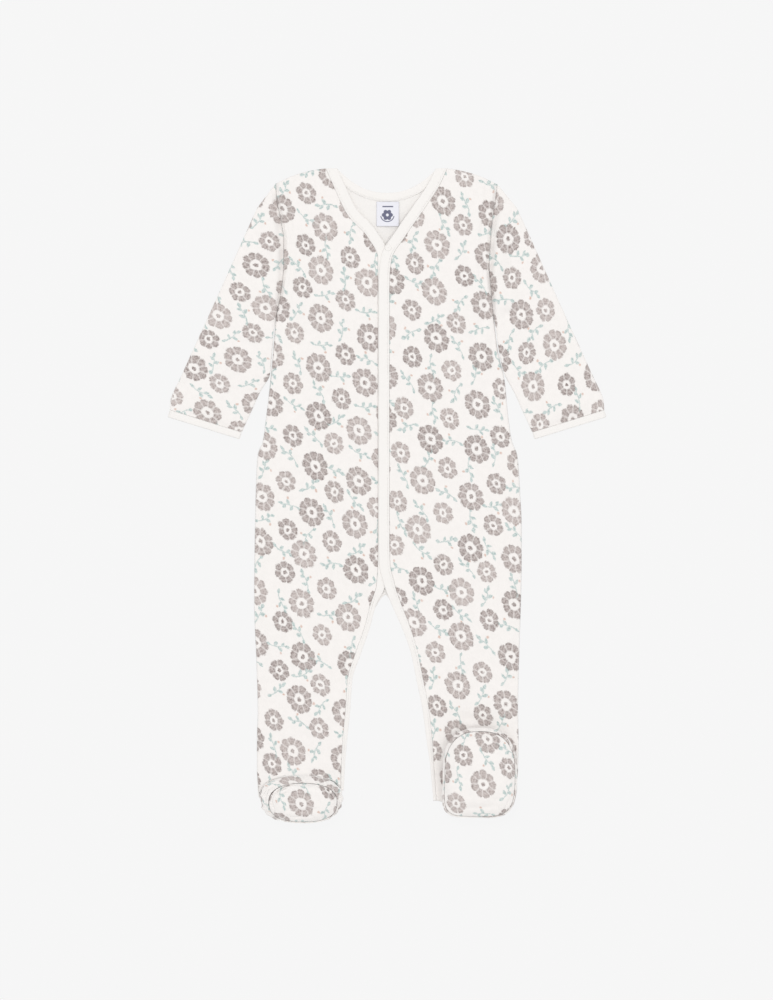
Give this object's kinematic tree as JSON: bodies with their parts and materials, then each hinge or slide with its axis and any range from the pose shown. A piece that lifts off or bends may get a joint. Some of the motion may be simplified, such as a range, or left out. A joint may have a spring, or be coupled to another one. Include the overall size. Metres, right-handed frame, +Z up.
{
  "type": "footed baby bodysuit",
  "caption": "Long-sleeved one-piece for a baby with closed feet and a snap front, laid flat on its back; its underside rests on a surface.",
  "frame": {"origin": "centre of the garment's bounding box on the surface it lies on", "axes": "+Y along the garment to the head, +X to the wearer's left, +Z up, out of the front"},
  "size_m": [0.4082, 0.6068, 0.0296],
  "materials": {
    "printed_velour": "cream cotton velour with a small printed pattern in taupe, sage and coral",
    "jersey": "smooth off-white cotton jersey binding",
    "label_satin": "white woven satin label",
    "snap_resin": "off-white resin snap under the cloth"
  },
  "bodies": {
    "root": {"back": "printed_velour", "front_right": "printed_velour", "front_left": "printed_velour", "sleeve_right": "printed_velour", "sleeve_left": "printed_velour", "foot_right": "printed_velour", "foot_left": "printed_velour", "sole_right": "printed_velour", "sole_left": "printed_velour", "cuff_right": "jersey", "cuff_left": "jersey", "band_right": "jersey", "band_left": "jersey", "band_neck_back": "jersey", "band_crotch_back": "jersey", "label": "label_satin", "snap_top": "snap_resin"}
  },
  "joints": []
}
